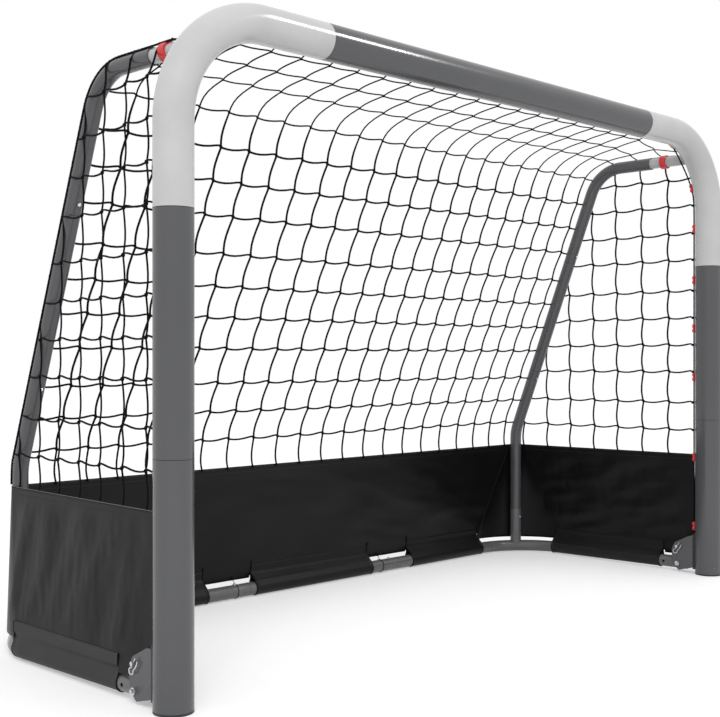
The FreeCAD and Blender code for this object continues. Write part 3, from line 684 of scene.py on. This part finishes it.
# The skirt: walls from the net's foot to the floor tubes, sleeves round the tubes. A corner is x, y and its bend.
skirt = {
    "top": 347, "low": 18.8, "topFront": (942, 38.5), "footFront": (970.8, 47),
    "topCorner": (906.8, 665.9, 18.8), "footCorner": (970.8, 714.8, 210.8), "lap": 400, "rearEnd": 760,
    "thick": 0.0009, "step": 4.6, "rowsHigh": 44, "window": 45.0, "seat": 64,
    "bracketEnds": (62, 76, 96), "bracketLows": (104, 50, 88), "rearWindows": ((-341, -182), (257, 428)),
    "sideNear": (0.009, (0.006, 0.0035)), "rearNear": (2.6, (2.0, 1.5)), "hung": (250, 60, 200), "tubeX": 952,
    "tubeY": 696, "straight": 504, "baseTurn": 192, "rise": 0.00934}
sleeve = {
    "side": (152, 541), "radius": 18.6, "thick": 0.0008, "station": 8, "ends": (1.2, 3.6, 5),
    # inner: the height above which the side sleeves' inner faces get the full painted shade, and the share of it below
    "flap": 79, "fold": 58, "neck": (9.0, 25.0), "inner": (0.034, 0.7),
    "creases": ((0.14, 0.5), (0.28, 1.9), (0.4, 0.5), (0.54, 1.7), (0.66, 0.4), (0.82, 1.3))}
piping = {"radius": 0.0014, "lay": 0.02, "step": 0.002, "rise": (82, 86, 91)}


def drop(z):  # 0 at the skirt's top, 1 at the floor tubes' middle
    return (skirt["top"] - z) / (skirt["top"] - skirt["low"])


def sideSection(share, height):  # 0 to 1 along the side, 1 to 2 round the corner, at 0 the top and 1 the foot
    ends = []
    for (frontX, frontY), (x, y, turn) in (
            (skirt["topFront"], skirt["topCorner"]), (skirt["footFront"], skirt["footCorner"])):
        if share <= 1:
            ends.append(Vector((between(frontX, x, share), between(frontY, y - turn, share))))
        else:
            angle = (min(share, 2) - 1) * pi / 2
            ends.append(Vector((x - turn + turn * cos(angle) - max(share - 2, 0) * skirt["lap"],
                                y - turn + turn * sin(angle))))
    return ends[0].lerp(ends[1], height)


def ripple(along, z, depth, wide, slant, tall, seed):  # one size of fold in the hung cloth
    return depth * noise.noise(Vector((along / wide + z / slant, z / tall, seed)))


def sideFold(y, z, side):  # how far the side's cloth stands out, in millimetres
    hang = soft(z, skirt["top"], skirt["top"] - 60) * (1 - 0.75 * soft(z, 110, 60))
    wave = 0.7 * sin(y / 23 + 1.4 * sin(z / 95)) + 1.0 * sin(y / 44 + z / 110 + side)
    wave += ripple(y, z, 3.2, 55, 240, 120, 3 * side) + ripple(y, z, (1 + side) * 2.2, 120, 60, 38, 7)
    wave += ripple(y, z, 0.8, 17, -130, 48, 5) + ripple(y, z, 0.22, 9, inf, 14, 8)
    free = soft(y, 52, 130) * (1 - soft(y, 560, 625))
    return (2.4 + wave) * hang * (0.25 + 0.75 * free) * (0.2 + 0.8 * free)


def rearFold(x, z):
    hang = soft(z, skirt["top"], skirt["top"] - 50) * (1 - 0.8 * soft(z, 105, 58))
    wave = ripple(x, z, 3.2, 160, -260, 120, 9) + 1.5 * sin(x / 61 + z / 75)
    wave += 3.0 * noise.noise(Vector((x / 330, z / 90 + x / 700, 2)))
    wave += ripple(x, z, 2.4, 130, 80, 42, 6) + ripple(x, z, 1.1, 60, 70, 26, 4) * soft(x, 200, 700)
    free = 1 - soft(abs(x), 780, 850)
    return (2.6 + wave) * hang * (0.15 + 0.85 * free)


def sidePoint(side, share, z, out=0.0):
    flat = sideSection(share, drop(z))
    ahead = sideSection(share + 0.01, drop(z)) - sideSection(max(share - 0.01, 0), drop(z))
    outward = Vector((ahead.y, -ahead.x)).normalized()
    flat += outward * (sideFold(flat.y, z, side) + out - 1.1 * soft(share, 1.99, 2.005))
    return place(side * flat.x, flat.y, z)


def rearShrink(z):  # the rear wall draws in towards the foot
    return between(arm["x"], skirt["rearEnd"], drop(z)) / arm["x"]


def rearPoint(x, z, out=0.0):  # x is the place at the skirt's top
    at = x * rearShrink(z)
    y = between(skirt["topCorner"][1], skirt["footCorner"][1], drop(z))
    return place(at, y + rearFold(at, z) + out, z)


def rearX(at, z):  # the top place that comes down to a place along the tube
    return at / rearShrink(z)


def sideBottom(along):  # where the wall ends, for each place along the tube
    for limit, low in zip(skirt["bracketEnds"], skirt["bracketLows"]):  # over the lock pin, between the cheeks
        if along < limit:
            return low
    return skirt["seat"] if sleeve["side"][0] < along < sleeve["side"][1] else skirt["window"]


def rearBottom(x):
    bare = any(low < x < high for low, high in skirt["rearWindows"]) or abs(x) > skirt["rearEnd"]
    return skirt["window"] if bare else skirt["seat"]


def mapCloth(piece, lies):  # each point's place in the flat cloth, for the weave
    layer = piece.data.uv_layers.new(name="cloth")
    for loop in piece.data.loops:
        layer.data[loop.index].uv = lies[loop.vertex_index]
    return piece


def clothGrid(name, columns, pointAt, bottomAt):  # columns of points from the top edge down to each bottom
    points, faces, lies = [], [], []
    rows, run = skirt["rowsHigh"], 0.0
    for column in columns:
        top = pointAt(column, skirt["top"])
        run += (top - points[-(rows + 1)]).length if points else 0
        for r in range(rows + 1):
            z = skirt["top"] + (bottomAt(column) - skirt["top"]) * r / rows
            points.append(pointAt(column, z))
            lies.append((run, z / 1000))
    for c in range(len(columns) - 1):
        for r in range(rows):
            a = c * (rows + 1) + r
            faces.append((a, a + rows + 1, a + rows + 2, a + 1))
    return mapCloth(newPiece(name, points, faces), lies)


def clothShell(piece, outside, thick, material):  # faces point outwards, then the cloth gets its thickness
    if sum(outside(face.center).dot(face.normal) for face in piece.data.polygons) < 0:
        piece.data.flip_normals()
    shell = piece.modifiers.new("cloth", "SOLIDIFY")
    shell.thickness, shell.offset = thick, -1
    settle(piece)
    for face in piece.data.polygons:
        face.use_smooth = True
    piece.data.materials.clear()
    piece.data.materials.append(material)


def innerPaintedShade(piece, outside, above=0.0, below=0.0):  # painted shade: the inner face is darkened, and less so round the tubes
    stamp(piece, "inner", "FLOAT", "FACE", [
        (1 if face.center.z > above else below) if outside(face.center).dot(face.normal) < 0 else 0
        for face in piece.data.polygons])


def alongTube(share):  # how far along the floor tube a part of the side wall stands
    spot = sidePoint(1, share, skirt["seat"])
    x, y = spot.x * 1000, spot.y * 1000 + frontToMiddle
    turn = atan2(y - skirt["straight"], x - skirt["tubeX"] + skirt["baseTurn"])
    return y if turn <= 0 else skirt["straight"] + skirt["baseTurn"] * turn


def shareOver(along):  # the part of the side wall over a place along the tube
    return sought(0.0, 1.7, 24, lambda share: alongTube(share) < along)


def withEdges(spots, edges, clear, near):  # places for the columns, with close ones at each edge
    for edge in edges:
        spots = [spot for spot in spots if abs(spot - edge) > clear]
        spots += [edge + way * gap for gap in near for way in (-1, 1)]
    return sorted(spots)


def sideWall(side, word):
    edges = [shareOver(along) for along in skirt["bracketEnds"] + sleeve["side"]]
    shares = [k / 100 for k in range(101)] + [1 + k / 40 for k in range(1, 41)] + [2.006, 2.02, 2.03]
    shares = withEdges(shares, edges, *skirt["sideNear"])

    def bottom(share):
        return sideBottom(alongTube(share)) if share < 1.9 else skirt["window"]

    def outside(spot):
        return Vector((spot.x, max(spot.y - 0.1, 0), 0))

    piece = clothGrid(f"skirt{word}", shares, lambda share, z: sidePoint(side, share, z), bottom)
    clothShell(piece, outside, skirt["thick"], blackCloth)
    innerPaintedShade(piece, outside)
    return hungBetween(piece, *skirt["hung"])


def rearWall():
    edges = [rearX(edge, skirt["window"]) for window in skirt["rearWindows"] for edge in window]
    edges += [rearX(side * skirt["rearEnd"], skirt["window"]) * 0.995 for side in (-1, 1)]
    count = round(2 * arm["x"] / skirt["step"])
    xs = withEdges([-arm["x"] + 2 * arm["x"] * k / count for k in range(count + 1)], edges, *skirt["rearNear"])
    piece = clothGrid("skirtRear", xs, rearPoint, lambda x: rearBottom(x * rearShrink(skirt["window"])))
    clothShell(piece, lambda spot: Vector((0, 1, 0)), skirt["thick"], blackCloth)
    innerPaintedShade(piece, lambda spot: Vector((0, 1, 0)))
    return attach(piece, "rear_frame")


def sleeveRing(wallAt, fat, height):  # a sleeve's section: flat on the wall's outside, round the tube, up its inside
    radius, tube, flap, fold = sleeve["radius"], Vector((0, height)), sleeve["flap"], sleeve["fold"]
    levels = [flap + (fold - flap) * k / 4 for k in range(5)]
    ring = [Vector((wallAt(z) + 0.9 + 0.5 * fat * sin(k * 1.4), z)) for k, z in enumerate(levels)]
    corner, neck = Vector((wallAt(fold), fold)), Vector((sleeve["neck"][0], height + sleeve["neck"][1]))

    def lean(spot):  # where the lines from a spot touch the tube's sleeve, either side of its own direction
        return atan2(spot.y - tube.y, spot.x), acos(radius / (spot - tube).length)

    first = lean(neck)[0] - lean(neck)[1]
    last = lean(corner)[0] + lean(corner)[1] - tau
    turns = [first + (last - first) * k / 18 for k in range(19)]
    bottom = [tube + Vector((cos(turn), sin(turn))) * radius for turn in turns]
    for share, out in ((0.3, 1.0), (0.62, 0.8), (0.85, 1.0), (1.0, 1.6)):
        ring.append(ring[4].lerp(neck, share) + Vector((out * fat - 0.6, 0)))
    ring.append(neck.lerp(bottom[0], 0.5) + Vector((0.4, 0.4)))
    ring += bottom
    up = (corner - bottom[-1]).normalized()
    for share, bulge in sleeve["creases"]:
        ring.append(bottom[-1].lerp(corner - Vector((1.6, 0)), share) + Vector((-up.y, up.x)) * bulge * fat)
    ring += [Vector((wallAt(z) - 1.6 - 0.6 * fat * sin(k * 1.9 + 1), z)) for k, z in enumerate(reversed(levels))]
    for k in range(6, 11):  # the bend over the tube is soft
        ring[k] = (ring[k - 1] + ring[k] * 2 + ring[k + 1]) / 4
    return ring


def sleevePiece(name, runs):  # runs: for each sleeve, a list of stations along its tube
    points, faces, lies = [], [], []
    for run in runs:
        base = len(points)
        for k, (along, toSpot, wallAt, height) in enumerate(run):
            ends = min(k, len(run) - 1 - k)
            ring = sleeveRing(wallAt, 1 + 0.6 * noise.noise(Vector((along / 70, 4.0, 1.0))), height)
            grown = (0.1, 1.3, 1.3, 0.1)[ends] if ends < 4 else 0.0  # the rolled edge
            around = 0.0
            for j, spot in enumerate(ring):
                away = (spot - Vector((0, height))).normalized()
                crease = 0.8 * noise.noise(Vector((along / 120, j / 1.7, 7.0)))
                moved = spot + away * (grown + crease * (1 if 4 < j < 9 or 28 < j < 35 else 0.15))
                points.append(toSpot(moved.x, max(moved.y, 1.0)))
                around += (spot - ring[j - 1]).length if j else 0
                lies.append((along / 1000, around / 1000))
        width = len(ring)
        for k in range(len(run) - 1):
            for j in range(width - 1):
                a = base + k * width + j
                faces.append((a, a + 1, a + width + 1, a + width))
    return mapCloth(newPiece(name, points, faces), lies)


def sleeveEdges(name, runs, rise=()):  # the piped edge at each sleeve's ends, and on up the wall's inside
    lines = []
    for run in runs:
        for along, toSpot, wallAt, height in (run[0], run[-1]):
            ring = sleeveRing(wallAt, 1.0, height) + [Vector((wallAt(z) - 2.2, z)) for z in rise]
            lines.append([toSpot(spot.x, max(spot.y, 1.8)) for spot in ring])
    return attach(laidPiece(name, lines, piping), "rear_frame")


def stationsAlong(low, high):  # even steps, with close ones at both ends
    first, last = low + sleeve["station"], high - sleeve["station"]
    count = int((last - first) / sleeve["station"])
    inner = [first + (last - first) * k / count for k in range(count + 1)]
    return [low, *(low + gap for gap in sleeve["ends"]), *inner, *(high - gap for gap in sleeve["ends"][::-1]), high]


def sideStation(side, y):  # a place along the side's floor tube, and the sleeve's frame there
    angle = max(y - skirt["straight"], 0) / skirt["baseTurn"]
    away = Vector((cos(angle), sin(angle)))
    middle = Vector((skirt["tubeX"] - skirt["baseTurn"], min(y, skirt["straight"]))) + away * skirt["baseTurn"]
    share = shareOver(y)

    def toSpot(out, z):
        return place(side * (middle.x + out * away.x), middle.y + out * away.y, z)

    def wallAt(z):
        wall = sidePoint(side, share, z)
        return (Vector((abs(wall.x) * 1000, wall.y * 1000 + frontToMiddle)) - middle).dot(away)

    return y, toSpot, wallAt, skirt["low"] + (skirt["tubeY"] - y) * skirt["rise"]  # the tube rises to the hinge


def sideSleeve(side, word):
    run = [sideStation(side, y) for y in stationsAlong(*sleeve["side"])]
    piece = sleevePiece(f"sleeve{word}", [run])
    tubeX = side * skirt["tubeX"] / 1000
    clothShell(piece, lambda spot: Vector((spot.x - tubeX, 0, spot.z - 0.03)), sleeve["thick"], sleeveCloth)
    innerPaintedShade(piece, lambda spot: Vector((side, 0.3, 0)), *sleeve["inner"])
    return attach(piece, "rear_frame"), sleeveEdges(f"sleeveEdges{word}", [run])


def rearStation(x):
    def toSpot(out, z):
        return place(x, skirt["tubeY"] + out, z)

    def wallAt(z):
        return rearPoint(rearX(x, z), z).y * 1000 + frontToMiddle - skirt["tubeY"]

    return x, toSpot, wallAt, skirt["low"]


def rearSleeves():
    limits = [-skirt["rearEnd"], *[edge for window in skirt["rearWindows"] for edge in window], skirt["rearEnd"]]
    runs = [[rearStation(x) for x in stationsAlong(low, high)] for low, high in zip(limits[::2], limits[1::2])]
    piece = sleevePiece("sleeveRear", runs)
    tubeY = (skirt["tubeY"] - frontToMiddle) / 1000
    clothShell(piece, lambda spot: Vector((0, spot.y - tubeY, spot.z - 0.03)), sleeve["thick"], blackCloth)
    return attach(piece, "rear_frame"), sleeveEdges("sleeveEdgesRear", runs, piping["rise"])


stitch = {"step": 0.0046, "length": 0.0017, "width": 0.00042, "faces": (0.25, -1.2), "inset": (4.0, 15.0)}


def hemStitches(word, places, pointAt):  # two rows of stitches along the hem, seen on both faces
    piece = lineMesh(f"hemStitches{word}", [
        [pointAt(spot, skirt["top"] - inset, out) for spot in places]
        for inset in stitch["inset"] for out in stitch["faces"]])
    grow(piece, stitchRow, {"Step": stitch["step"], "Length": stitch["length"], "Width": stitch["width"],
                            "Seed": 3, "Finish": stitchThread})
    return piece


for side, word in sides:
    wall = sideWall(side, word)
    cuff, edges = sideSleeve(side, word)
    shares = [k / 60 for k in range(61)] + [1 + k / 20 for k in range(1, 20)]
    seams = hemStitches(word, shares, lambda *spot: sidePoint(side, *spot))
    hungBetween(seams, *skirt["hung"])
    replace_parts(wall, f"skirt_side_{word.lower()}")
wall = rearWall()
cuff, edges = rearSleeves()
seams = hemStitches("Rear", [-arm["x"] + 2 * arm["x"] * k / 150 for k in range(151)], rearPoint)
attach(seams, "rear_frame")
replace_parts(wall, "skirt_rear")
print("skirt done")

# Joints: a dark band where two tubes meet, a painted shadow of the gap, and the bends' pale lip beside it
# the line widths are those of the dark bands painted as the joints' shadow
joint = {"postRadius": 37.0, "sink": 0.6, "line": 0.9, "postShadowLine": 1.44, "proud": 0.12,
         "lip": 2.2, "lipProud": 0.3, "lipAside": 1.7, "postX": 952, "bendFoot": 892, "postMiddle": 448.15,
         "barEnds": 587, "barHeight": 1257, "armAlong": (293.5, 214), "barJoints": (-203, 297), "round": 48}


def bandPiece(name, bands, width, proud, material, body):  # low bands round tubes
    half, points, faces = width / 2, [], []
    sections = ((-joint["sink"], -half), (proud * 0.6, -half), (proud, -half * 0.5), (proud, half * 0.5),
                (proud * 0.6, half), (-joint["sink"], half))
    for spot, way, radius in bands:
        base, rows, count = len(points), len(sections), joint["round"]
        way = Vector(way).normalized()
        first = way.orthogonal().normalized()
        second = way.cross(first)
        for r, (reach, along) in enumerate(sections):
            a, b = base + r * count, base + (r + 1) % rows * count
            for k in range(count):
                angle = tau * k / count
                away = first * cos(angle) + second * sin(angle)
                points.append(place(*(Vector(spot) + way * along + away * (radius + reach))))
                faces.append((a + k, a + (k + 1) % count, b + (k + 1) % count, b + k))
    piece = newPiece(name, points, faces)
    build = bmesh.new()
    build.from_mesh(piece.data)
    bmesh.ops.recalc_face_normals(build, faces=build.faces)
    build.to_mesh(piece.data)
    build.free()
    piece.data.materials.append(material)
    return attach(piece, body)


def onPost(side, height):
    return (side * joint["postX"], 0, height), (0, 0, 1), joint["postRadius"]


def onBar(side, x):
    return (side * x, 0, joint["barHeight"]), (1, 0, 0), joint["postRadius"]


shadowBandsFront, shadowBandsRear, lips = [], [], []
slopeWay = Vector((0, arm["slope"][0], -arm["slope"][1]))
for side in (-1, 1):
    shadowBandsFront += [onPost(side, joint["bendFoot"]), onPost(side, joint["postMiddle"]), onBar(side, joint["barEnds"])]
    lips += [onPost(side, joint["bendFoot"] + joint["lipAside"]), onBar(side, joint["barEnds"] + joint["lipAside"])]
    corner = Vector((side * arm["x"], arm["corner"], arm["top"]))
    foot = Vector((side * arm["x"], arm["foot"], arm["lowCorner"]))
    shadowBandsRear += [(corner + slopeWay * joint["armAlong"][0], slopeWay, arm["radius"]),
                  (foot - slopeWay * joint["armAlong"][1], slopeWay, arm["radius"])]
shadowBandsRear += [((x, skirt["tubeY"], skirt["low"]), (1, 0, 0), arm["radius"]) for x in joint["barJoints"]]
# dark bands at the joints: painted shadow, in black plastic
bandPiece("jointLinesFront", shadowBandsFront, joint["postShadowLine"], joint["proud"], blackPlastic,
          "front_frame")
bandPiece("jointLinesRear", shadowBandsRear, joint["line"], joint["proud"], blackPlastic, "rear_frame")
bandPiece("bendLips", lips, joint["lip"], joint["lipProud"], whitePlastic, "front_frame")
print("joints done")

hem = {"radius": 0.0007, "lay": 0.004, "step": 0.003, "below": 0.5, "out": 0.4}
for side, word in sides:  # the hem's cut edge, as a pale cord: a painted highlight along the hem
    shares = [k / 60 for k in range(61)] + [1 + k / 12 for k in range(1, 13)]
    run = [sidePoint(side, share, skirt["top"] - hem["below"], hem["out"]) for share in shares]
    hungBetween(laidPiece(f"hemEdge{word}", [run], hem, hemThread), *skirt["hung"])

ties = {"places": (-245, 300), "radius": 0.0009, "lay": 0.006, "step": 0.0016, "loop": 18.7, "spiral": 1.5, "hole": 55}


def tieRuns():  # a loop of twine from the wall's edge round the rear tube
    runs = []
    for x in ties["places"]:
        loop = []
        for k in range(25):
            angle = tau * k / 24 + pi / 2
            loop.append(place(x + ties["spiral"] * sin(angle), skirt["tubeY"] + ties["loop"] * cos(angle),
                              max(skirt["low"] + ties["loop"] * sin(angle), 0.9)))
        wall = rearPoint(rearX(x, ties["hole"]), ties["hole"])
        runs.append([wall + Vector((0.001, 0.002, 0))] + loop + [wall + Vector((-0.002, -0.002, 0.002))])
    return runs


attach(laidPiece("skirtTies", tieRuns(), ties), "rear_frame")
print("ties done")

# Floor, light and camera
studio = {"floor": 60.0, "below": 0.0008, "floorColour": 0.86, "glow": 0.34, "ambient": 0.80}
lamps = {
    "keyLight": {"spot": (-3.2, -3.4, 4.2), "target": (0, 0, 0.5), "size": (2.6, 2.6), "power": 80.0,
                 "hidden": ("glossy",)},
    "stripLight": {"spot": (1.4, -1.9, 2.8), "target": (1.4, -0.34, 1.25), "size": (0.95, 0.5), "power": 46.0,
                   "hidden": ("diffuse", "camera")}}


def seenBy(wire, *kinds):  # 1 for rays of these kinds, 0 for others
    found = [wire.node("ShaderNodeLightPath", output=f"Is {kind} Ray") for kind in kinds]
    return sum(found[1:], found[0])


def stageFloor():
    half, z = studio["floor"] / 2, -studio["below"]
    corners = [(-half, -half, z), (half, -half, z), (half, half, z), (-half, half, z)]
    floor = newPiece("floor", corners, [(0, 1, 2, 3)])
    made, wire, shader = newMaterial("paleFloor", {"shader": {
        "Roughness": 0.9, "Specular IOR Level": 0.0, "Base Color": (*grey(studio["floorColour"]), 1),
        "Emission Strength": 1.0}})
    seen = spread(seenBy(wire, "Camera", "Glossy"), 0.0, 1.0)
    feed(shader, {"Emission Color": tinted(seen, grey(0), grey(studio["glow"]))})
    floor.data.materials.append(made)


def whiteWorld():
    scene.world = bpy.data.worlds.new("paleStudio")
    scene.world.use_nodes = True
    tree = scene.world.node_tree
    backdrop = tree.nodes["Background"]
    backdrop.inputs["Color"].default_value = (1, 1, 1, 1)
    level = spread(seenBy(Wire(tree), "Camera", "Glossy", "Transmission"), 0.0, 1.0, studio["ambient"])
    tree.links.new(level.socket, backdrop.inputs["Strength"])


stageFloor()
whiteWorld()
for name, made in lamps.items():
    data = bpy.data.lights.new(name, "AREA")
    data.shape, data.energy = "RECTANGLE", made["power"]
    data.size, data.size_y = made["size"]
    lamp = bpy.data.objects.new(name, data)
    scene.collection.objects.link(lamp)
    lamp.location = made["spot"]
    lamp.rotation_euler = (Vector(made["target"]) - Vector(made["spot"])).to_track_quat("-Z", "Y").to_euler()
    for kind in made["hidden"]:
        setattr(lamp, f"visible_{kind}", False)

camera = {"spot": (-2.21815, -2.05940, 0.62659), "turn": -44.914, "lens": 59.5965, "shift": (0.00971, -0.00061)}
lens = bpy.data.cameras.new("photoCamera")
lens.sensor_width, lens.lens = 36.0, camera["lens"]
lens.shift_x, lens.shift_y = camera["shift"]
lens.clip_start, lens.clip_end = 0.05, 60.0
viewer = bpy.data.objects.new("photoCamera", lens)
viewer.location = camera["spot"]
viewer.rotation_euler = (radians(90), 0, radians(camera["turn"]))
scene.collection.objects.link(viewer)
scene.camera = viewer
